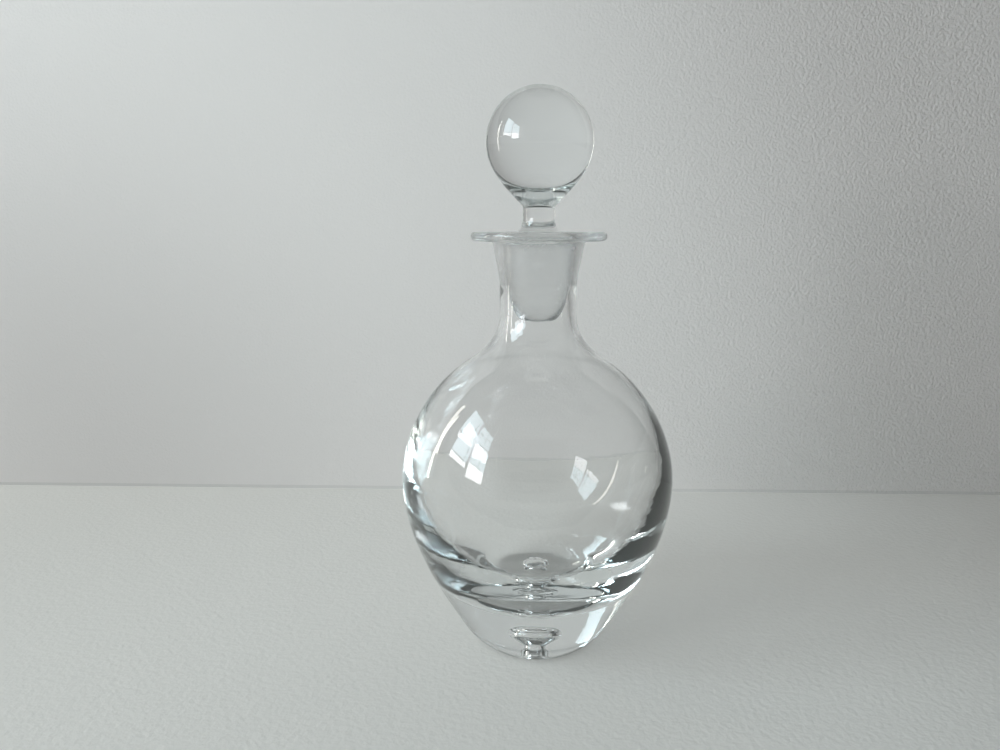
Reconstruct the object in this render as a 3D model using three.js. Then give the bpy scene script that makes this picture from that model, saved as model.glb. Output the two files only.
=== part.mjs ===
// Whisky decanter in clear glass: a blown vessel on a thick solid base, and a solid ball stopper.
// Millimetres, +Z up. The foot stands on z = 0, and the axis of both pieces is the Z axis.
import * as THREE from 'three';

// Flat ground foot and the roll of glass above it, up to where the side begins
const FOOT_RADIUS = 27.1;
const ROLL_WIDTH = 8.7;
const ROLL_HEIGHT = 9.3;

// Outside of the bowl, shoulder and neck, each rise measured from the height before it
const BELLY_RADIUS = 62.5;
const BELLY_HEIGHT = 79.5;
const SHOULDER_RADIUS = 32.5;
const SHOULDER_RISE = 53.4;
const WAIST_RISE = 33.7;
const FLARE_RISE = 20.7;

// Flat disc lip, with a fillet below it and a rounded mouth
const LIP_WIDTH = 9.9;
const LIP_THICKNESS = 4;
const LIP_FILLET = 1.7;
const MOUTH_ROUND = 0.8;

// Thickness of the glass around the inside
const BELLY_WALL = 5.2;
const SHOULDER_WALL = 1.3;
const WAIST_WALL = 2.8;
const FLARE_WALL = 3.9;
const BUBBLE_ROOF = 5.1;

// The bowl is widest inside a little above the belly, and the throat is narrowest below the seat
const CAVITY_LIFT = 5.4;
const THROAT_DROP = 7;
const THROAT_STEP = 0.9;

// Hourglass air bubble in the base, and the fine bore that opens it through the foot
const BUBBLE_RADIUS = 7.6;
const BUBBLE_CROWN = 5.1;
const BUBBLE_DROP = 8.4;
const PINCH_RADIUS = 3;
const SKIRT_RADIUS = 7.5;
const SKIRT_DROP = 6.5;
const SKIRT_FLOOR = 1.1;
const BUBBLE_LIFT = 1.8;
const VENT_RADIUS = 0.75;

// Ball and stem of the stopper
const BALL_RADIUS = 23.35;
const BALL_RISE = 28.75;
const STEM_RADIUS = 7;
const STEM_HEIGHT = 9.8;
const STEM_FLARE = 2.6;
const STEM_FLARE_HEIGHT = 6.4;
const CONE_FILLET = 1.9;
const CONE_FILLET_WIDTH = 0.4;

// Ground plug of the stopper, sunk a little into the mouth, and the seat's clearance around it
const PLUG_RADIUS = 16.4;
const PLUG_SINK = 0.4;
const PLUG_ROUND = 0.8;
const PLUG_TAPER = 0.09;
const SEAT_LENGTH = 22.8;
const NOSE_LENGTH = 15.5;
const NOSE_FLAT = 6.5;
const SEAT_GAP = 0.3;

// Directions of the section's curves, in degrees above the outward radius
const OUT = 0;
const UP = 90;
const IN = 180;
const DOWN = -90;
const FOOT_LEAN = 40;
const ROLL_LEAN = 58.7;
const SHOULDER_LEAN = 146.6;
const FLARE_LEAN = 82;
const SKIRT_LEAN = -50;
const SKIRT_TURN = -125;
const STEM_LEAN = 135;
const CONE_LEAN = 46;
const BALL_LEAN = 68;

// How long a curve holds the directions it leaves and arrives with, as shares of its reach
const EVEN_HOLD = [0.34, 0.34];
const NECK_HOLD = [0.55, 0.42];
const THROAT_HOLD = [0.42, 0.5];
const CAVITY_HOLD = [0.46, 0.21];
const FLOOR_HOLD = [0.14, 0.63];
const DOME_HOLD = [0.465, 0.48];
const NOSE_HOLD = [0.26, 0.1];

// Facets: around the axis, and how far a flat step may stray from its curve
const SEGMENTS = 40;
const CURVE_SAG = 0.1;
const FEWEST_STEPS = 2;

// Heights that the vessel and the stopper share
const shoulderHeight = BELLY_HEIGHT + SHOULDER_RISE;
const waistHeight = shoulderHeight + WAIST_RISE;
const lipUnderside = waistHeight + FLARE_RISE;
const lipTop = lipUnderside + LIP_THICKNESS;
const plugTop = lipTop - PLUG_SINK;
const seatBottom = plugTop - SEAT_LENGTH;

// Heights of the bubble, from the glass under it to the floor of the bowl
const skirtHeight = BUBBLE_LIFT + SKIRT_FLOOR;
const pinchHeight = skirtHeight + SKIRT_DROP;
const bubbleHeight = pinchHeight + BUBBLE_DROP;
const bubbleTop = bubbleHeight + BUBBLE_CROWN;
const bowlFloor = bubbleTop + BUBBLE_ROOF;

const DEGREE = Math.PI / 180;
const plugLean = Math.atan(1 / PLUG_TAPER) / DEGREE;

// The plug's tapered side, and the seat ground in the neck to take it
function plugRadius(height) {
  return PLUG_RADIUS - PLUG_TAPER * (plugTop - height);
}

function seatRadius(height) {
  return plugRadius(height) + SEAT_GAP;
}

function heading(angle, length) {
  return new THREE.Vector2(Math.cos(angle * DEGREE), Math.sin(angle * DEGREE)).multiplyScalar(length);
}

// How far one direction turns to reach another, in degrees either way
function turnBetween(from, to) {
  const turn = to - from;
  return turn - 360 * Math.round(turn / 360);
}

// Flat steps that a stretch of this length and turn needs to stay within CURVE_SAG
function stepsFor(length, turn) {
  const steps = Math.sqrt(length * Math.abs(turn) * DEGREE / (8 * CURVE_SAG));
  return Math.max(FEWEST_STEPS, Math.ceil(steps));
}

// Half of a turned section, drawn as a run of points that each have a radius and a height
class Section {
  constructor(radius, height) {
    this.points = [new THREE.Vector2(radius, height)];
  }

  get end() {
    return this.points[this.points.length - 1];
  }

  line(radius, height) {
    this.points.push(new THREE.Vector2(radius, height));
    return this;
  }

  // A smooth stretch from the last point, with the directions that it leaves and arrives with
  sweep(radius, height, leave, arrive, [leaveHold, arriveHold] = EVEN_HOLD) {
    const to = new THREE.Vector2(radius, height);
    const reach = this.end.distanceTo(to);
    const leaving = heading(leave, leaveHold * reach).add(this.end);
    const arriving = heading(arrive, -arriveHold * reach).add(to);
    const middle = arriving.clone().sub(leaving).angle() / DEGREE;
    const turn = Math.abs(turnBetween(leave, middle)) + Math.abs(turnBetween(middle, arrive));
    const curve = new THREE.CubicBezierCurve(this.end, leaving, arriving, to);
    this.points.push(...curve.getPoints(stepsFor(reach, turn)).slice(1));
    return this;
  }

  // A round stretch about a centre, from the last point, anticlockwise through the turn in degrees
  round(centreRadius, centreHeight, turn) {
    const centre = new THREE.Vector2(centreRadius, centreHeight);
    const spoke = this.end.clone().sub(centre);
    const start = spoke.angle() / DEGREE;
    const steps = stepsFor(spoke.length() * turn * DEGREE, turn);
    for (let step = 1; step <= steps; step += 1) {
      this.points.push(heading(start + turn * step / steps, spoke.length()).add(centre));
    }
    return this;
  }

  turned() {
    return new THREE.LatheGeometry(this.points, SEGMENTS).rotateX(Math.PI / 2);
  }
}

// The bubble's skin from its crown on the axis down through the foot
function drawBubble() {
  return new Section(0, bubbleTop)
    .sweep(BUBBLE_RADIUS, bubbleHeight, OUT, DOWN, DOME_HOLD)
    .sweep(PINCH_RADIUS, pinchHeight, DOWN, DOWN)
    .sweep(SKIRT_RADIUS, skirtHeight, DOWN, SKIRT_LEAN)
    .sweep(VENT_RADIUS, BUBBLE_LIFT, SKIRT_TURN, IN)
    .line(VENT_RADIUS, 0);
}

// Up the outside from the ground foot to the underside of the lip
function drawOutside(section) {
  const waistRadius = seatRadius(waistHeight) + WAIST_WALL;
  const flareRadius = seatRadius(lipUnderside) + FLARE_WALL;
  section.line(FOOT_RADIUS, 0);
  section.sweep(FOOT_RADIUS + ROLL_WIDTH, ROLL_HEIGHT, FOOT_LEAN, ROLL_LEAN);
  section.sweep(BELLY_RADIUS, BELLY_HEIGHT, ROLL_LEAN, UP);
  section.sweep(SHOULDER_RADIUS, shoulderHeight, UP, SHOULDER_LEAN);
  section.sweep(waistRadius, waistHeight, SHOULDER_LEAN, UP, NECK_HOLD);
  section.sweep(flareRadius, lipUnderside - LIP_FILLET, UP, FLARE_LEAN);
  section.sweep(flareRadius + LIP_FILLET, lipUnderside, FLARE_LEAN, OUT);
}

// Round the rim of the lip and over its flat top into the mouth
function drawLip(section) {
  const rimRadius = LIP_THICKNESS / 2;
  const rimCentre = seatRadius(lipUnderside) + FLARE_WALL + LIP_WIDTH - rimRadius;
  const mouthBottom = lipTop - MOUTH_ROUND;
  section.line(rimCentre, lipUnderside);
  section.round(rimCentre, lipUnderside + rimRadius, IN - OUT);
  section.line(seatRadius(mouthBottom) + MOUTH_ROUND, lipTop);
  section.sweep(seatRadius(mouthBottom), mouthBottom, IN, DOWN);
}

// Down the ground seat and the throat, and round the bowl to its floor on the axis
function drawInside(section) {
  const seatEnd = seatRadius(seatBottom);
  const wall = heading(SHOULDER_LEAN + 90, SHOULDER_WALL);
  const shoulderDown = SHOULDER_LEAN - 180;
  section.line(seatEnd, seatBottom);
  section.sweep(seatEnd - THROAT_STEP, seatBottom - THROAT_DROP, plugLean - 180, DOWN);
  section.sweep(SHOULDER_RADIUS + wall.x, shoulderHeight + wall.y, DOWN, shoulderDown, THROAT_HOLD);
  section.sweep(BELLY_RADIUS - BELLY_WALL, BELLY_HEIGHT + CAVITY_LIFT, shoulderDown, DOWN, CAVITY_HOLD);
  section.sweep(0, bowlFloor, DOWN, IN, FLOOR_HOLD);
}

// The plug from the flat tip of its nose on the axis up to its top face
function drawPlug() {
  const noseTip = seatBottom - NOSE_LENGTH;
  const roundStart = plugTop - PLUG_ROUND;
  return new Section(0, noseTip)
    .line(NOSE_FLAT, noseTip)
    .sweep(plugRadius(seatBottom), seatBottom, OUT, plugLean, NOSE_HOLD)
    .line(plugRadius(roundStart), roundStart)
    .sweep(PLUG_RADIUS - PLUG_ROUND, plugTop, plugLean, IN);
}

// The stem, the cone and the ball, from the plug's top face to the crown on the axis
function drawHandle(section) {
  const stemTop = plugTop + STEM_HEIGHT;
  const ballHeight = stemTop + BALL_RISE;
  const ballStart = heading(BALL_LEAN - 90, BALL_RADIUS);
  section.line(STEM_RADIUS + STEM_FLARE, plugTop);
  section.sweep(STEM_RADIUS, plugTop + STEM_FLARE_HEIGHT, STEM_LEAN, UP);
  section.line(STEM_RADIUS, stemTop);
  section.sweep(STEM_RADIUS + CONE_FILLET_WIDTH, stemTop + CONE_FILLET, UP, CONE_LEAN);
  section.sweep(ballStart.x, ballHeight + ballStart.y, CONE_LEAN, BALL_LEAN);
  section.round(0, ballHeight, IN - BALL_LEAN);
}

function makeVessel() {
  const section = drawBubble();
  drawOutside(section);
  drawLip(section);
  drawInside(section);
  const clearGlass = new THREE.MeshStandardMaterial({ color: '#dfe9e8', roughness: 0.05, metalness: 0 });
  const vessel = new THREE.Mesh(section.turned(), clearGlass);
  vessel.name = 'decanter_body';
  return vessel;
}

function makeStopper() {
  const section = drawPlug();
  drawHandle(section);
  const groundGlass = new THREE.MeshStandardMaterial({ color: '#d9dfdc', roughness: 0.35, metalness: 0 });
  const stopper = new THREE.Mesh(section.turned(), groundGlass);
  stopper.name = 'stopper';
  return stopper;
}

const decanter = new THREE.Group();
decanter.add(makeVessel());
decanter.add(makeStopper());

export default decanter;
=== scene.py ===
"""A whisky decanter of clear glass and its ball stopper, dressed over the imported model."""
import math

import bmesh
import bpy
from mathutils import Matrix, Vector
from mathutils.geometry import interpolate_bezier


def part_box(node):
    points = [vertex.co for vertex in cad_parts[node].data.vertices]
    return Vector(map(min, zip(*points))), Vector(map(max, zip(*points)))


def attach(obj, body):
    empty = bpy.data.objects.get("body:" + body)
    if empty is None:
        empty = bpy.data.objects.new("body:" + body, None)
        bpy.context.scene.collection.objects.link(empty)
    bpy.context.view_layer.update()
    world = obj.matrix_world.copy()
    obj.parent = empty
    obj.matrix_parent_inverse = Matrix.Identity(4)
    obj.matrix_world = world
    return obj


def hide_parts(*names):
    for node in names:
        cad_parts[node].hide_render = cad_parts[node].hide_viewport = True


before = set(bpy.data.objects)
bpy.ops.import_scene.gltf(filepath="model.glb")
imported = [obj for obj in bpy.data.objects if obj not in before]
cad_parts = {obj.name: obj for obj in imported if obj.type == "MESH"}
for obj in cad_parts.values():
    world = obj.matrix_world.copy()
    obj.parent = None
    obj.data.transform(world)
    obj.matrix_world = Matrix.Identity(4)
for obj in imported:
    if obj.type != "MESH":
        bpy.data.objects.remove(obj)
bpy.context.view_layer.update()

# The vessel's glass. It is clear soda-lime glass, gathered on a pipe, blown in a wetted mould and
# fire polished. It shows no colour in the wall, and a faint cool cast in the thick base.
MM = 0.001
GLASS_IOR = 1.52
GLASS_CAST = "#f1f5f5"
GLASS_DENSITY = 9.0
WAVE_LENGTH = 14 * MM
WAVE_DEPTH = 0.03 * MM
RING_LENGTH = 4 * MM
RING_DEPTH = 0.035 * MM
RING_SHAPE = (0.25, 0.25, 1.0)
RINGS_END = 125 * MM
RINGS_FULL = 75 * MM
SMOOTH = {"interpolation_type": "SMOOTHSTEP"}
TIMES = {"operation": "MULTIPLY"}


def linear(hex_colour):
    """The linear red, green, blue and alpha of an sRGB hex colour."""
    channels = [int(hex_colour[i:i + 2], 16) / 255 for i in (1, 3, 5)]
    return [c / 12.92 if c <= 0.04045 else ((c + 0.055) / 1.055) ** 2.4 for c in channels] + [1.0]


def add_node(tree, kind, settings=None, **inputs):
    """Adds a node, sets its options, and fills or links its inputs by name or place."""
    node = tree.nodes.new(kind)
    for option, value in (settings or {}).items():
        setattr(node, option, value)
    for key, value in inputs.items():
        socket = node.inputs[int(key[1:])] if key[0] == "_" else node.inputs[key.replace("_", " ")]
        if isinstance(value, bpy.types.NodeSocket):
            tree.links.new(value, socket)
        else:
            socket.default_value = value
    return node


def new_material(name):
    material = bpy.data.materials.new(name)
    material.use_nodes = True
    material.node_tree.nodes.clear()
    return material


# The ground joint. The neck's seat and the stopper's plug are ground against each other with wet
# grit, which leaves a fine matt grain that scatters the light. The flat foot is polished again.
GRIT_SIZE = 0.35 * MM
GRIT_DEPTH = 0.02 * MM
GRIT_STRENGTH = 0.4
GROUND_PATCH = 6 * MM
GROUND_ROUGHNESS = (0.24, 0.29)


def blown_glass(name):
    """Fire-polished glass, matt where the mesh's own ground attribute is 1.

    The flame leaves no grain, only broad shallow waves that make a reflection's edges waver, and
    turning in the mould leaves fine rings round the bowl. The rings and the grit's pits are drawn
    coarser than the real ones so that they show.
    """
    material = new_material(name)
    tree = material.node_tree
    place = add_node(tree, "ShaderNodeTexCoord").outputs["Object"]
    ground = add_node(tree, "ShaderNodeAttribute", {"attribute_name": "ground"}).outputs["Fac"]
    waves = add_node(tree, "ShaderNodeTexNoise", Vector=place, Scale=1 / WAVE_LENGTH, Detail=1.0)
    waved = add_node(tree, "ShaderNodeBump", Strength=1.0, Distance=WAVE_DEPTH, Height=waves.outputs[0])
    height = add_node(tree, "ShaderNodeSeparateXYZ", Vector=place).outputs["Z"]
    turned = add_node(tree, "ShaderNodeMapRange", SMOOTH, Value=height,
                      From_Min=RINGS_END, From_Max=RINGS_FULL)
    flat = add_node(tree, "ShaderNodeVectorMath", TIMES, _0=place, _1=RING_SHAPE)
    rings = add_node(tree, "ShaderNodeTexNoise", Vector=flat.outputs[0], Scale=1 / RING_LENGTH,
                     Detail=2.0)
    rings = add_node(tree, "ShaderNodeMath", TIMES, _0=rings.outputs[0], _1=turned.outputs[0])
    ringed = add_node(tree, "ShaderNodeBump", Strength=1.0, Distance=RING_DEPTH,
                      Height=rings.outputs[0], Normal=waved.outputs[0])
    grain = add_node(tree, "ShaderNodeTexNoise", Vector=place, Scale=1 / GRIT_SIZE, Detail=2.0)
    pitted = add_node(tree, "ShaderNodeMath", TIMES, _0=grain.outputs[0], _1=ground)
    pits = add_node(tree, "ShaderNodeBump", Strength=GRIT_STRENGTH, Distance=GRIT_DEPTH,
                    Height=pitted.outputs[0], Normal=ringed.outputs[0])
    patches = add_node(tree, "ShaderNodeTexNoise", Vector=place, Scale=1 / GROUND_PATCH, Detail=3.0)
    matt = add_node(tree, "ShaderNodeMapRange", Value=patches.outputs[0],
                    To_Min=GROUND_ROUGHNESS[0], To_Max=GROUND_ROUGHNESS[1])
    roughness = add_node(tree, "ShaderNodeMath", TIMES, _0=matt.outputs[0], _1=ground)
    shader = add_node(tree, "ShaderNodeBsdfPrincipled", Base_Color=linear("#ffffff"),
                      Roughness=roughness.outputs[0], IOR=GLASS_IOR, Transmission_Weight=1.0,
                      Normal=pits.outputs[0])
    depth = add_node(tree, "ShaderNodeVolumeAbsorption", Color=linear(GLASS_CAST),
                     Density=GLASS_DENSITY)
    add_node(tree, "ShaderNodeOutputMaterial", Surface=shader.outputs[0], Volume=depth.outputs[0])
    return material


blown_soda_glass = blown_glass("blown_soda_glass")
pressed_soda_glass = blown_glass("pressed_soda_glass")


# Sections. Each glass piece is round, so it is drawn as half a section, in millimetres, and turned
# on its axis. A stretch is a smooth curve between two directions, in degrees above the radius.
OUT, UP, IN, DOWN = 0, 90, 180, -90
EVEN_HOLD = (0.34, 0.34)
CURVE_SAG = 0.005
WELD_DISTANCE = 0.002
SHARP_TURN = 14
BUBBLE_TURNS = 96
PIECE_TURNS = 192


def heading(angle, length):
    return Vector((math.cos(math.radians(angle)), math.sin(math.radians(angle)))) * length


def steps_for(length, turn):
    """Steps that keep a stretch of this length and turn, in degrees, within CURVE_SAG."""
    return max(2, math.ceil(math.sqrt(length * math.radians(abs(turn)) / (8 * CURVE_SAG))))


def sweep(section, radius, height, leave, arrive, hold=EVEN_HOLD):
    """Carries a section on to a point, leaving and arriving with the given directions."""
    start = section[-1]
    end = Vector((radius, height))
    reach = (end - start).length
    leaving = start + heading(leave, hold[0] * reach)
    arriving = end - heading(arrive, hold[1] * reach)
    middle = arriving - leaving
    turn = sum(math.degrees(way.angle(middle)) for way in (heading(leave, 1), heading(arrive, 1)))
    section += interpolate_bezier(start, leaving, arriving, end, steps_for(reach, turn) + 1)[1:]


def arc(section, radius, height, turn):
    """Carries a section on about a centre, anticlockwise through the turn in degrees."""
    centre = Vector((radius, height))
    spoke = section[-1] - centre
    start = math.degrees(math.atan2(spoke.y, spoke.x))
    steps = steps_for(spoke.length * math.radians(turn), turn)
    section += [centre + heading(start + turn * step / steps, spoke.length)
                for step in range(1, steps + 1)]


def line(section, radius, height):
    section.append(Vector((radius, height)))


def lathe_tree():
    """Turns a section, held as the mesh's own points, and marks the ground band on its faces."""
    tree = bpy.data.node_groups.new("turned_glass", "GeometryNodeTree")
    for name, kind in {"Section": "Geometry", "Turns": "Int", "Glass": "Material",
                       "Ground from": "Float", "Ground to": "Float", "Ground inside": "Float"}.items():
        tree.interface.new_socket(name=name, in_out="INPUT", socket_type="NodeSocket" + kind)
    tree.interface.new_socket(name="Glass", in_out="OUTPUT", socket_type="NodeSocketGeometry")
    given = add_node(tree, "NodeGroupInput").outputs
    math_node = "ShaderNodeMath"
    size = add_node(tree, "GeometryNodeAttributeDomainSize", Geometry=given["Section"])
    count = size.outputs["Point Count"]
    columns = add_node(tree, math_node, {"operation": "ADD"}, _0=given["Turns"], _1=1.0).outputs[0]
    grid = add_node(tree, "GeometryNodeMeshGrid", Vertices_X=columns, Vertices_Y=count)
    index = add_node(tree, "GeometryNodeInputIndex").outputs[0]
    row = add_node(tree, math_node, {"operation": "MODULO"}, _0=index, _1=count)
    column = add_node(tree, math_node, {"operation": "DIVIDE"}, _0=index, _1=count)
    column = add_node(tree, math_node, {"operation": "FLOOR"}, _0=column.outputs[0])
    share = add_node(tree, math_node, {"operation": "DIVIDE"}, _0=column.outputs[0], _1=given["Turns"])
    angle = add_node(tree, math_node, TIMES, _0=share.outputs[0], _1=math.tau)
    place = add_node(tree, "GeometryNodeInputPosition").outputs[0]
    point = add_node(tree, "GeometryNodeSampleIndex", {"data_type": "FLOAT_VECTOR"},
                     Geometry=given["Section"], Value=place, Index=row.outputs[0])
    turned = add_node(tree, "ShaderNodeVectorRotate", {"rotation_type": "Z_AXIS"},
                      Vector=point.outputs[0], Angle=angle.outputs[0])
    skin = add_node(tree, "GeometryNodeSetPosition", Geometry=grid.outputs["Mesh"],
                    Position=turned.outputs[0])
    closed = add_node(tree, "GeometryNodeMergeByDistance", Geometry=skin.outputs[0],
                      Distance=WELD_DISTANCE * MM)
    smooth = add_node(tree, "GeometryNodeSetShadeSmooth", Geometry=closed.outputs[0])
    axes = add_node(tree, "ShaderNodeSeparateXYZ", Vector=place)
    flat = add_node(tree, "ShaderNodeCombineXYZ", X=axes.outputs["X"], Y=axes.outputs["Y"])
    radius = add_node(tree, "ShaderNodeVectorMath", {"operation": "LENGTH"}, _0=flat.outputs[0])
    above = add_node(tree, math_node, {"operation": "GREATER_THAN"},
                     _0=axes.outputs["Z"], _1=given["Ground from"])
    below = add_node(tree, math_node, {"operation": "LESS_THAN"},
                     _0=axes.outputs["Z"], _1=given["Ground to"])
    within = add_node(tree, math_node, {"operation": "LESS_THAN"},
                      _0=radius.outputs["Value"], _1=given["Ground inside"])
    band = add_node(tree, math_node, TIMES, _0=above.outputs[0], _1=below.outputs[0])
    band = add_node(tree, math_node, TIMES, _0=band.outputs[0], _1=within.outputs[0])
    ground = add_node(tree, "GeometryNodeStoreNamedAttribute", {"data_type": "FLOAT", "domain": "FACE"},
                      Geometry=smooth.outputs[0], Name="ground", Value=band.outputs[0])
    real = add_node(tree, "GeometryNodeRealizeInstances", Geometry=ground.outputs[0])
    glass = add_node(tree, "GeometryNodeSetMaterial", Geometry=real.outputs[0], Material=given["Glass"])
    add_node(tree, "NodeGroupOutput", Glass=glass.outputs[0])
    return tree


turned_glass = lathe_tree()


def turn_section(name, section, turns, glass, ground=(0, 0, 0)):
    """A new object with the section turned on the Z axis, as a plain mesh in metres.

    Its faces are ground between two heights and within a radius, all given in millimetres.
    """
    inputs = {"Turns": turns, "Glass": glass}
    inputs.update(zip(("Ground from", "Ground to", "Ground inside"), (size * MM for size in ground)))
    guide = bpy.data.meshes.new(name)
    guide.from_pydata([(p.x * MM, 0, p.y * MM) for p in section], [], [])
    piece = bpy.data.objects.new(name, guide)
    bpy.context.scene.collection.objects.link(piece)
    modifier = piece.modifiers.new("turned", "NODES")
    modifier.node_group = turned_glass
    for socket in turned_glass.interface.items_tree:
        if socket.in_out == "INPUT" and socket.name in inputs:
            modifier[socket.identifier] = inputs[socket.name]
    evaluated = piece.evaluated_get(bpy.context.evaluated_depsgraph_get())
    mesh = bpy.data.meshes.new_from_object(evaluated)
    piece.modifiers.clear()
    piece.data = mesh
    mesh.name = name
    mesh.set_sharp_from_angle(angle=math.radians(SHARP_TURN))
    return piece


# The bubble. Before the second gather a spike pressed into the hot base leaves a pit, and the next
# layer of glass closes over the air, which draws itself into an hourglass as the base cools.
BUBBLE_RADIUS = 7.6
BUBBLE_CROWN = 5.1
BUBBLE_DROP = 8.4
PINCH_RADIUS = 3
SKIRT_RADIUS = 7.5
SKIRT_DROP = 6.5
SKIRT_FLOOR = 1.1
SKIRT_LEAN = -50
SKIRT_TURN = -125
BUBBLE_LIFT = 1.8
BUBBLE_ROOF = 5.1
DOME_HOLD = (0.465, 0.48)

skirt_height = BUBBLE_LIFT + SKIRT_FLOOR
pinch_height = skirt_height + SKIRT_DROP
bubble_height = pinch_height + BUBBLE_DROP
bubble_top = bubble_height + BUBBLE_CROWN
bowl_floor = bubble_top + BUBBLE_ROOF

bubble_section = [Vector((0, bubble_top))]
sweep(bubble_section, BUBBLE_RADIUS, bubble_height, OUT, DOWN, DOME_HOLD)
sweep(bubble_section, PINCH_RADIUS, pinch_height, DOWN, DOWN)
sweep(bubble_section, SKIRT_RADIUS, skirt_height, DOWN, SKIRT_LEAN)
sweep(bubble_section, 0, BUBBLE_LIFT, SKIRT_TURN, IN)
bubble = turn_section("bubble_skin", bubble_section, BUBBLE_TURNS, blown_soda_glass)


# The vessel. One piece of glass: a flat polished foot, a solid base, a round bowl, and a neck that is
# flared into a flat disc lip and ground inside for the stopper.
FOOT_RADIUS = 27.1
ROLL_WIDTH = 8.7
ROLL_HEIGHT = 9.3
BELLY_HEIGHT = 79.5
SHOULDER_RADIUS = 32.5
SHOULDER_RISE = 53.4
WAIST_RISE = 33.7
LIP_WIDTH = 9.9
LIP_THICKNESS = 4
LIP_FILLET = 1.7
MOUTH_ROUND = 0.8
BELLY_WALL = 5.2
SHOULDER_WALL = 1.3
WAIST_WALL = 2.8
FLARE_WALL = 3.9
CAVITY_LIFT = 5.4
THROAT_DROP = 7
THROAT_STEP = 0.9
FOOT_LEAN = 40
ROLL_LEAN = 58.7
SHOULDER_LEAN = 146.6
FLARE_LEAN = 82
NECK_HOLD = (0.55, 0.42)
THROAT_HOLD = (0.42, 0.5)
CAVITY_HOLD = (0.46, 0.21)
FLOOR_HOLD = (0.14, 0.63)
PLUG_RADIUS = 16.4
PLUG_SINK = 0.4
PLUG_TAPER = 0.09
SEAT_LENGTH = 22.8
SEAT_GAP = 0.3
SEAT_MARGIN = 0.1
MOUTH_MARGIN = 0.5

belly_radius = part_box("decanter_body")[1].x / MM
lip_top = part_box("decanter_body")[1].z / MM
lip_underside = lip_top - LIP_THICKNESS
shoulder_height = BELLY_HEIGHT + SHOULDER_RISE
waist_height = shoulder_height + WAIST_RISE
plug_top = lip_top - PLUG_SINK
seat_bottom = plug_top - SEAT_LENGTH
plug_lean = math.degrees(math.atan2(1, PLUG_TAPER))


def plug_radius(height):
    return PLUG_RADIUS - PLUG_TAPER * (plug_top - height)


def seat_radius(height):
    return plug_radius(height) + SEAT_GAP


def draw_outside(section):
    """Up the outside from the foot to the underside of the lip."""
    flare_radius = seat_radius(lip_underside) + FLARE_WALL
    line(section, FOOT_RADIUS, 0)
    sweep(section, FOOT_RADIUS + ROLL_WIDTH, ROLL_HEIGHT, FOOT_LEAN, ROLL_LEAN)
    sweep(section, belly_radius, BELLY_HEIGHT, ROLL_LEAN, UP)
    sweep(section, SHOULDER_RADIUS, shoulder_height, UP, SHOULDER_LEAN)
    sweep(section, seat_radius(waist_height) + WAIST_WALL, waist_height, SHOULDER_LEAN, UP, NECK_HOLD)
    sweep(section, flare_radius, lip_underside - LIP_FILLET, UP, FLARE_LEAN)
    sweep(section, flare_radius + LIP_FILLET, lip_underside, FLARE_LEAN, OUT)


def draw_lip(section):
    """Round the rim of the lip and over its flat top into the mouth."""
    rim_radius = LIP_THICKNESS / 2
    rim_centre = seat_radius(lip_underside) + FLARE_WALL + LIP_WIDTH - rim_radius
    mouth_bottom = lip_top - MOUTH_ROUND
    line(section, rim_centre, lip_underside)
    arc(section, rim_centre, lip_underside + rim_radius, IN - OUT)
    line(section, seat_radius(mouth_bottom) + MOUTH_ROUND, lip_top)
    sweep(section, seat_radius(mouth_bottom), mouth_bottom, IN, DOWN)


def draw_inside(section):
    """Down the ground seat and the throat, and round the bowl to its floor on the axis."""
    seat_end = seat_radius(seat_bottom)
    wall = heading(SHOULDER_LEAN + 90, SHOULDER_WALL)
    shoulder_down = SHOULDER_LEAN - 180
    line(section, seat_end, seat_bottom)
    sweep(section, seat_end - THROAT_STEP, seat_bottom - THROAT_DROP, plug_lean - 180, DOWN)
    sweep(section, SHOULDER_RADIUS + wall.x, shoulder_height + wall.y, DOWN, shoulder_down, THROAT_HOLD)
    sweep(section, belly_radius - BELLY_WALL, BELLY_HEIGHT + CAVITY_LIFT,
          shoulder_down, DOWN, CAVITY_HOLD)
    sweep(section, 0, bowl_floor, DOWN, IN, FLOOR_HOLD)


vessel_section = [Vector((0, 0))]
draw_outside(vessel_section)
draw_lip(vessel_section)
draw_inside(vessel_section)
vessel = turn_section("vessel_glass", vessel_section, PIECE_TURNS, blown_soda_glass, ground=(
    seat_bottom - SEAT_MARGIN, lip_top - MOUTH_ROUND, seat_radius(lip_top) + MOUTH_MARGIN))

# The bubble's skin belongs to the vessel's glass, with its faces towards the air inside it.
whole = bmesh.new()
whole.from_mesh(vessel.data)
whole.from_mesh(bubble.data)
whole.to_mesh(vessel.data)
whole.free()
bpy.data.objects.remove(bubble)
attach(vessel, "vessel")
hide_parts("decanter_body")


# The stopper. A solid ball of glass is drawn down to a short stem and a thick plug, and the plug is
# ground to the neck's taper down to its rounded nose.
STEM_RADIUS = 7
STEM_HEIGHT = 9.8
STEM_FLARE = 2.6
STEM_FLARE_HEIGHT = 6.4
CONE_FILLET = 1.9
CONE_FILLET_WIDTH = 0.4
PLUG_ROUND = 0.8
NOSE_FLAT = 6.5
STEM_LEAN = 135
CONE_LEAN = 46
BALL_LEAN = 68
NOSE_HOLD = (0.26, 0.1)
NOSE_MARGIN = 1

ball_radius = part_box("stopper")[1].x / MM
ball_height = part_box("stopper")[1].z / MM - ball_radius
nose_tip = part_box("stopper")[0].z / MM
stem_top = plug_top + STEM_HEIGHT
ball_start = heading(BALL_LEAN - 90, ball_radius)

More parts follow.
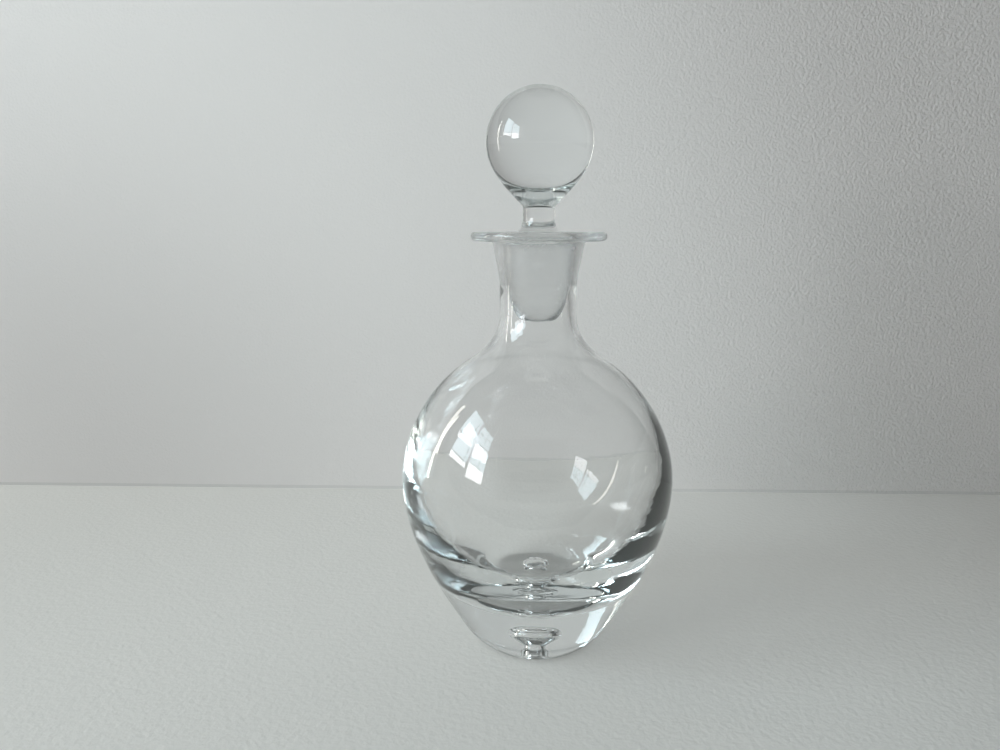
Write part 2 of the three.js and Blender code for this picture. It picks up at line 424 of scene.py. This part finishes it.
stopper_section = [Vector((0, nose_tip))]
line(stopper_section, NOSE_FLAT, nose_tip)
sweep(stopper_section, plug_radius(seat_bottom), seat_bottom, OUT, plug_lean, NOSE_HOLD)
line(stopper_section, plug_radius(plug_top - PLUG_ROUND), plug_top - PLUG_ROUND)
sweep(stopper_section, PLUG_RADIUS - PLUG_ROUND, plug_top, plug_lean, IN)
line(stopper_section, STEM_RADIUS + STEM_FLARE, plug_top)
sweep(stopper_section, STEM_RADIUS, plug_top + STEM_FLARE_HEIGHT, STEM_LEAN, UP)
line(stopper_section, STEM_RADIUS, stem_top)
sweep(stopper_section, STEM_RADIUS + CONE_FILLET_WIDTH, stem_top + CONE_FILLET, UP, CONE_LEAN)
sweep(stopper_section, ball_start.x, ball_height + ball_start.y, CONE_LEAN, BALL_LEAN)
arc(stopper_section, 0, ball_height, IN - BALL_LEAN)
stopper = turn_section("stopper_glass", stopper_section, PIECE_TURNS, pressed_soda_glass, ground=(
    nose_tip - NOSE_MARGIN, plug_top - PLUG_ROUND, 2 * PLUG_RADIUS))
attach(stopper, "stopper")
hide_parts("stopper")


# The setting. A pale painted table top meets a pale wall behind the decanter. Glass rests on a table
# by a few high spots, so a film of air under the foot keeps the table's paint off its face.
AIR_FILM = 0.2 * MM
WALL_DISTANCE = 0.1984
WALL_TURN = 1.24
WALL_END = 0.42
WALL_TOP = 0.5
TABLE_SIZE = 5.0
# A darker strip along the wall's foot is painted shade in the crease where the wall meets the table.
CREASE_SHADE_HEIGHT = 2.2 * MM
CREASE_SHADE_STAND_OFF = 1 * MM
TABLE_COLOUR = "#ece7e0"
WALL_COLOUR = "#f7f0ed"
CREASE_SHADE_COLOUR = "#e6e1dd"
PAINT_ROUGHNESS = 0.8
STIPPLE_STRENGTH = 0.8
TABLE_NAP = 3 * MM
TABLE_RELIEF = (0.55 * MM, 1.0 * MM)
WALL_NAP = 1.8 * MM
WALL_RELIEF = (0.3 * MM, 2.0 * MM)
RELIEF_SPAN = (0.0, 0.25)
# A share of the table and wall paint is a glow of painted light, bright on the left and fading to the
# right as painted falloff of the window's light.
PAINTED_LIGHT_SHARE = 0.4
PAINTED_LIGHT_BRIGHT_END = "#d9dfdd"
PAINTED_LIGHT_DIM_END = "#a8a9a7"
PAINTED_LIGHT_FALLOFF_SPAN = (0.1, 0.4)
PAINTED_LIGHT_FALLOFF_TILT = 0.5
# Painted shade low down, as a dimmer glow near the table.
TABLE_LOW_SHADE_LEVEL = 0.93
WALL_LOW_SHADE_LEVEL = 0.88
CREASE_LOW_SHADE_LEVEL = 0.84
LOW_SHADE_TOP = 0.24
# Painted shade in the far left corner, where the wall meets the table.
CORNER_SHADE_CENTRE = (-0.46, 0.2, 0.0)
CORNER_SHADE_SPAN = (0.1, 0.42)
TABLE_CORNER_SHADE = 0.3
WALL_CORNER_SHADE = 0.6
# A painted shadow of the foot on the table, round the decanter's axis.
FOOT_SHADE = 0.45
FOOT_SHADE_SPAN = (24 * MM, 32 * MM)


def painted(name, colour, low_shade_level, corner_shade, nap, relief):
    """Matt rolled paint, part of it a glow of painted light where it is seen or seen through glass.

    The roller's stipple deepens to the right. The painted light fades to the right as painted falloff,
    and painted shade dims it low down, in the far left corner and under the foot.
    """
    material = new_material(name)
    tree = material.node_tree
    place = add_node(tree, "ShaderNodeTexCoord").outputs["Object"]
    roller = add_node(tree, "ShaderNodeTexNoise", Vector=place, Scale=1 / nap, Detail=4.0)
    axes = add_node(tree, "ShaderNodeSeparateXYZ", Vector=place).outputs
    depth = add_node(tree, "ShaderNodeMapRange", Value=axes["X"], From_Min=RELIEF_SPAN[0],
                     From_Max=RELIEF_SPAN[1], To_Min=relief[0], To_Max=relief[1])
    stipple = add_node(tree, "ShaderNodeBump", Strength=STIPPLE_STRENGTH, Distance=depth.outputs[0],
                       Height=roller.outputs[0])
    paint = add_node(tree, "ShaderNodeBsdfPrincipled", Base_Color=linear(colour),
                     Roughness=PAINT_ROUGHNESS, Normal=stipple.outputs[0])
    # The glow's painted light fades to the right, tilted with height.
    tilted = add_node(tree, "ShaderNodeMath", {"operation": "MULTIPLY_ADD"},
                      _0=axes["Z"], _1=PAINTED_LIGHT_FALLOFF_TILT, _2=axes["X"])
    across = add_node(tree, "ShaderNodeMapRange", SMOOTH, Value=tilted.outputs[0],
                      From_Min=PAINTED_LIGHT_FALLOFF_SPAN[0], From_Max=PAINTED_LIGHT_FALLOFF_SPAN[1])
    # Painted shade low down.
    low = add_node(tree, "ShaderNodeMapRange", SMOOTH, Value=axes["Z"],
                   From_Min=0.0, From_Max=LOW_SHADE_TOP, To_Min=low_shade_level, To_Max=1.0)
    # Painted shade in the far left corner.
    away = add_node(tree, "ShaderNodeVectorMath", {"operation": "DISTANCE"}, _0=place, _1=CORNER_SHADE_CENTRE)
    corner = add_node(tree, "ShaderNodeMapRange", SMOOTH, Value=away.outputs["Value"],
                      From_Min=CORNER_SHADE_SPAN[0], From_Max=CORNER_SHADE_SPAN[1],
                      To_Min=1 - corner_shade, To_Max=1.0)
    # The foot's painted shadow, round the axis.
    out = add_node(tree, "ShaderNodeVectorMath", {"operation": "LENGTH"}, _0=place)
    shade = add_node(tree, "ShaderNodeMapRange", SMOOTH, Value=out.outputs["Value"],
                     From_Min=FOOT_SHADE_SPAN[0], From_Max=FOOT_SHADE_SPAN[1],
                     To_Min=1 - FOOT_SHADE, To_Max=1.0)
    strength = add_node(tree, "ShaderNodeMath", TIMES, _0=low.outputs[0], _1=corner.outputs[0])
    strength = add_node(tree, "ShaderNodeMath", TIMES, _0=strength.outputs[0], _1=shade.outputs[0])
    level = add_node(tree, "ShaderNodeMix", {"data_type": "RGBA"}, _0=across.outputs[0],
                     _6=linear(PAINTED_LIGHT_BRIGHT_END), _7=linear(PAINTED_LIGHT_DIM_END))
    # The glow is painted light. It shows where the paint is seen directly, in reflections or through
    # glass.
    pale = add_node(tree, "ShaderNodeEmission", Color=level.outputs[2], Strength=strength.outputs[0])
    ray = add_node(tree, "ShaderNodeLightPath").outputs
    seen = add_node(tree, "ShaderNodeMath", {"operation": "MAXIMUM"}, _0=ray["Is Camera Ray"],
                    _1=ray["Is Glossy Ray"])
    seen = add_node(tree, "ShaderNodeMath", {"operation": "MAXIMUM"}, _0=seen.outputs[0],
                    _1=ray["Is Transmission Ray"])
    share = add_node(tree, "ShaderNodeMath", TIMES, _0=seen.outputs[0], _1=PAINTED_LIGHT_SHARE)
    mixed = add_node(tree, "ShaderNodeMixShader", Fac=share.outputs[0],
                     _1=paint.outputs[0], _2=pale.outputs[0])
    return material, mixed


def flat_sheet(name, corners, material):
    mesh = bpy.data.meshes.new(name)
    mesh.from_pydata(corners, [], [range(len(corners))])
    mesh.materials.append(material)
    sheet = bpy.data.objects.new(name, mesh)
    bpy.context.scene.collection.objects.link(sheet)


def on_room_side(material, paint):
    """Shows a painted wall from its room side only, so that it can't be seen from behind."""
    side = add_node(material.node_tree, "ShaderNodeNewGeometry")
    nothing = add_node(material.node_tree, "ShaderNodeBsdfTransparent")
    one_side = add_node(material.node_tree, "ShaderNodeMixShader", Fac=side.outputs["Backfacing"],
                        _1=paint.outputs[0], _2=nothing.outputs[0])
    add_node(material.node_tree, "ShaderNodeOutputMaterial", Surface=one_side.outputs[0])


table_paint, paint = painted("table_paint", TABLE_COLOUR, TABLE_LOW_SHADE_LEVEL, TABLE_CORNER_SHADE,
                             TABLE_NAP, TABLE_RELIEF)
add_node(table_paint.node_tree, "ShaderNodeOutputMaterial", Surface=paint.outputs[0])
half = TABLE_SIZE / 2
flat_sheet("table", [(-half, -half, -AIR_FILM), (half, -half, -AIR_FILM),
                     (half, half, -AIR_FILM), (-half, half, -AIR_FILM)], table_paint)

wall_paint, paint = painted("wall_paint", WALL_COLOUR, WALL_LOW_SHADE_LEVEL, WALL_CORNER_SHADE,
                            WALL_NAP, WALL_RELIEF)
on_room_side(wall_paint, paint)
turn = Matrix.Rotation(math.radians(WALL_TURN), 3, "Z")
foot_line = [turn @ Vector((x, WALL_DISTANCE, -AIR_FILM)) for x in (-half, WALL_END)]
rise = Vector((0, 0, WALL_TOP))
flat_sheet("wall", [*foot_line, foot_line[1] + rise, foot_line[0] + rise], wall_paint)

# A darker strip along the foot of the wall is painted shade in the crease where the wall meets the
# table.
crease_shade_paint, paint = painted("crease_shade_paint", CREASE_SHADE_COLOUR, CREASE_LOW_SHADE_LEVEL, WALL_CORNER_SHADE,
                            WALL_NAP, WALL_RELIEF)
on_room_side(crease_shade_paint, paint)
forward = turn @ Vector((0, -CREASE_SHADE_STAND_OFF, 0))
crease_shade_line = [corner + forward for corner in foot_line]
rise = Vector((0, 0, CREASE_SHADE_HEIGHT))
flat_sheet("wall_crease_shade", [*crease_shade_line, crease_shade_line[1] + rise, crease_shade_line[0] + rise], crease_shade_paint)


# The light. A tall window in two lights, with glazing bars, stands to the left of the decanter, and
# daylight also falls through a gap by the wall. The room is pale on the window's side, dark on the
# other side and behind the camera, and grey overhead.
WINDOW_PLACE = -1.15
SKY = ("#e1f7ff", 9.0)
BRIGHT_SKY = ("#fbfdff", 15.0)
WINDOW_REVEAL = ("#e4e4f4", 3.0)
WALL_GAP = ("#fffdf2", 12.0)
GAP_EDGES = (0.18, 0.12)
GAP_TOP = 0.87
NEAR_EDGES = (-0.18, -0.61)
NEAR_SILL = 0.42
NEAR_SKYLINE = 0.5
NEAR_TOP = 1.05
FAR_EDGES = (-0.68, -1.18)
FAR_SILL = 0.3
FAR_SKYLINE = 0.55
FAR_TOP = 0.96
BAR_WIDTH = 16 * MM
BAR_STAND_OFF = 0.02
BAR_COLOUR = "#6d7072"
BAR_ROUGHNESS = 0.5
NEAR_BAR = -0.52
FAR_BAR = -0.94
FAR_BAR_HEIGHT = 0.78
WINDOW_WAY = (-0.85, -0.5, 0.0)
WINDOW_SIDE_SPAN = (0.8, 0.93)
CEILING_SPAN = (0.45, 0.75)
WINDOW_SIDE = "#c8d0d2"
DARK_SIDE = "#3c3d3b"
CEILING = "#404342"
PALE_BACKDROP = "#bfc2c0"


def out_of_sight(material, shader):
    """Lets a part of the window light the glass and show in it without standing in the picture."""
    tree = material.node_tree
    looked_at = add_node(tree, "ShaderNodeLightPath").outputs["Is Camera Ray"]
    nothing = add_node(tree, "ShaderNodeBsdfTransparent")
    mixed = add_node(tree, "ShaderNodeMixShader", Fac=looked_at,
                     _1=shader.outputs[0], _2=nothing.outputs[0])
    add_node(tree, "ShaderNodeOutputMaterial", Surface=mixed.outputs[0])


def daylight(name, colour, strength):
    """Plain light from outside. Its even brightness shows as clean shapes in the glass."""
    material = new_material(name)
    glow = add_node(material.node_tree, "ShaderNodeEmission", Color=linear(colour), Strength=strength)
    out_of_sight(material, glow)
    return material


def upright_sheet(name, material, edges, bottom, top, stand_off=0.0):
    place = WINDOW_PLACE + stand_off
    first, last = edges
    flat_sheet(name, [(place, first, bottom), (place, last, bottom),
                      (place, last, top), (place, first, top)], material)


sky = daylight("sky", *SKY)
bright_sky = daylight("bright_sky", *BRIGHT_SKY)
upright_sheet("near_sky", sky, NEAR_EDGES, NEAR_SKYLINE, NEAR_TOP)
upright_sheet("near_bright_sky", bright_sky, NEAR_EDGES, NEAR_SILL, NEAR_SKYLINE)
upright_sheet("window_reveal", daylight("window_reveal", *WINDOW_REVEAL),
              (NEAR_EDGES[1], FAR_EDGES[0]), FAR_SKYLINE, NEAR_TOP)
upright_sheet("far_sky", sky, FAR_EDGES, FAR_SKYLINE, FAR_TOP)
upright_sheet("far_bright_sky", bright_sky, FAR_EDGES, FAR_SILL, FAR_SKYLINE)
upright_sheet("wall_gap", daylight("wall_gap", *WALL_GAP), GAP_EDGES, 0.0, GAP_TOP)

bar_paint = new_material("bar_paint")
paint = add_node(bar_paint.node_tree, "ShaderNodeBsdfPrincipled", Base_Color=linear(BAR_COLOUR),
                 Roughness=BAR_ROUGHNESS)
out_of_sight(bar_paint, paint)
for number, (edges, bottom, top) in enumerate((
        (NEAR_EDGES, NEAR_SKYLINE, NEAR_SKYLINE + BAR_WIDTH),
        (FAR_EDGES, FAR_SKYLINE, FAR_SKYLINE + BAR_WIDTH),
        (FAR_EDGES, FAR_BAR_HEIGHT, FAR_BAR_HEIGHT + BAR_WIDTH),
        ((NEAR_BAR, NEAR_BAR - BAR_WIDTH), NEAR_SILL, NEAR_TOP),
        ((FAR_BAR, FAR_BAR - BAR_WIDTH), FAR_SKYLINE, FAR_TOP))):
    upright_sheet(f"bar_{number}", bar_paint, edges, bottom, top, BAR_STAND_OFF)

room = bpy.data.worlds.new("room")
room.use_nodes = True
tree = room.node_tree
tree.nodes.clear()
way = add_node(tree, "ShaderNodeTexCoord").outputs["Generated"]
facing = add_node(tree, "ShaderNodeVectorMath", {"operation": "DOT_PRODUCT"},
                  _0=way, _1=Vector(WINDOW_WAY).normalized())
share = add_node(tree, "ShaderNodeMapRange", SMOOTH, Value=facing.outputs["Value"],
                 From_Min=WINDOW_SIDE_SPAN[0], From_Max=WINDOW_SIDE_SPAN[1])
walls = add_node(tree, "ShaderNodeMixRGB", Fac=share.outputs[0], Color1=linear(DARK_SIDE),
                 Color2=linear(WINDOW_SIDE))
upward = add_node(tree, "ShaderNodeSeparateXYZ", Vector=way)
above = add_node(tree, "ShaderNodeMapRange", SMOOTH, Value=upward.outputs["Z"],
                 From_Min=CEILING_SPAN[0], From_Max=CEILING_SPAN[1])
room_colour = add_node(tree, "ShaderNodeMixRGB", Fac=above.outputs[0], Color1=walls.outputs[0],
                       Color2=linear(CEILING))
looked_at = add_node(tree, "ShaderNodeLightPath").outputs["Is Camera Ray"]
backdrop = add_node(tree, "ShaderNodeMixRGB", Fac=looked_at, Color1=room_colour.outputs[0],
                    Color2=linear(PALE_BACKDROP))
glow = add_node(tree, "ShaderNodeBackground", Color=backdrop.outputs[0])
add_node(tree, "ShaderNodeOutputWorld", Surface=glow.outputs[0])
bpy.context.scene.world = room

# Light crosses the thick base many times before it leaves, and each crossing counts as a bounce.
GLASS_CROSSINGS = 32
cycles = bpy.context.scene.cycles
cycles.max_bounces = cycles.transmission_bounces = cycles.glossy_bounces = GLASS_CROSSINGS


# The camera. It stands where the photograph was taken from, worked out from the ellipses of the
# lip and the foot, and looks down a little.
CAMERA_DISTANCE = 0.3382
CAMERA_HEIGHT = 0.1938
CAMERA_TILT = 11.22
CAMERA_TURN = 2.9
LENS = 27.04
SENSOR_WIDTH = 36
CLIP_START = 0.01

camera_data = bpy.data.cameras.new("camera")
camera_data.lens = LENS
camera_data.sensor_width = SENSOR_WIDTH
camera_data.clip_start = CLIP_START
camera = bpy.data.objects.new("camera", camera_data)
camera.location = (0, -CAMERA_DISTANCE, CAMERA_HEIGHT)
camera.rotation_euler = (math.radians(90 - CAMERA_TILT), 0, math.radians(CAMERA_TURN))
bpy.context.scene.collection.objects.link(camera)
bpy.context.scene.camera = camera
bpy.context.scene.view_settings.view_transform = "Standard"
